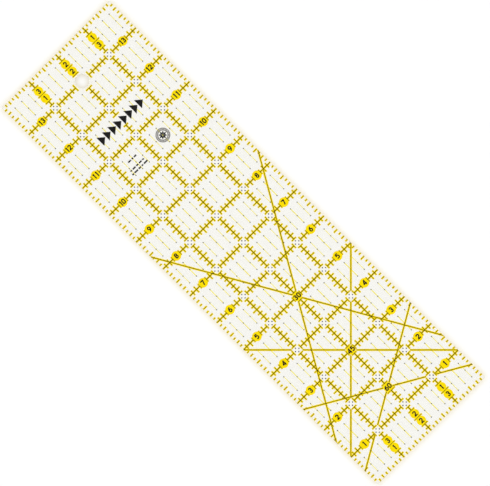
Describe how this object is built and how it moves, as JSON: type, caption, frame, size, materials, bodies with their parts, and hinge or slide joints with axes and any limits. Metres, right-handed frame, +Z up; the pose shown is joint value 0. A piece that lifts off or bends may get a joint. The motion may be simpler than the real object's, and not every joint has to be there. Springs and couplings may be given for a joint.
{
  "type": "quilting ruler",
  "caption": "Clear acrylic quilting ruler with a printed inch grid, angle lines, numbered discs and a hang hole.",
  "frame": {"origin": "on the surface the ruler lies on, under the middle of the blade", "axes": "+X across the width from left to right as the numbers read, +Y along the length towards the hang hole, +Z up through the thickness, out of the face that is read"},
  "size_m": [0.1016, 0.3556, 0.0031],
  "materials": {
    "clear_acrylic": "clear cast acrylic, polished faces, sawn and flamed edges",
    "yellow_ink": "opaque screen-printed ink",
    "pale_yellow_ink": "thin screen-printed ink",
    "black_ink": "opaque screen-printed ink",
    "grey_ink": "screen-printed ink"
  },
  "bodies": {
    "root": {"acrylic_blade": "clear_acrylic", "angle_30_bars": "yellow_ink", "angle_30_hairlines": "black_ink", "angle_45_bars": "yellow_ink", "angle_45_hairlines": "black_ink", "angle_60_bars": "yellow_ink", "angle_60_hairlines": "black_ink", "angle_badges": "yellow_ink", "angle_numerals": "black_ink", "crossing_dots": "black_ink", "crosswise_inch_bars": "yellow_ink", "crosswise_inch_hairlines": "black_ink", "far_edge_tick_bars": "yellow_ink", "far_edge_tick_hairlines": "black_ink", "far_width_numerals": "black_ink", "far_width_tabs": "yellow_ink", "flying_geese_mark": "black_ink", "half_inch_guides": "pale_yellow_ink", "left_edge_tick_bars": "yellow_ink", "left_edge_tick_hairlines": "black_ink", "left_row_discs": "yellow_ink", "left_row_numerals": "black_ink", "lengthwise_inch_bars": "yellow_ink", "lengthwise_inch_hairlines": "black_ink", "near_edge_tick_bars": "yellow_ink", "near_edge_tick_hairlines": "black_ink", "near_width_numerals": "black_ink", "near_width_tabs": "yellow_ink", "quarter_inch_dots": "black_ink", "quarter_inch_guides": "pale_yellow_ink", "right_edge_tick_bars": "yellow_ink", "right_edge_tick_hairlines": "black_ink", "right_row_discs": "yellow_ink", "right_row_numerals": "black_ink", "seal_ring": "grey_ink", "seal_star": "black_ink", "small_print_dashes": "black_ink"}
  },
  "joints": []
}
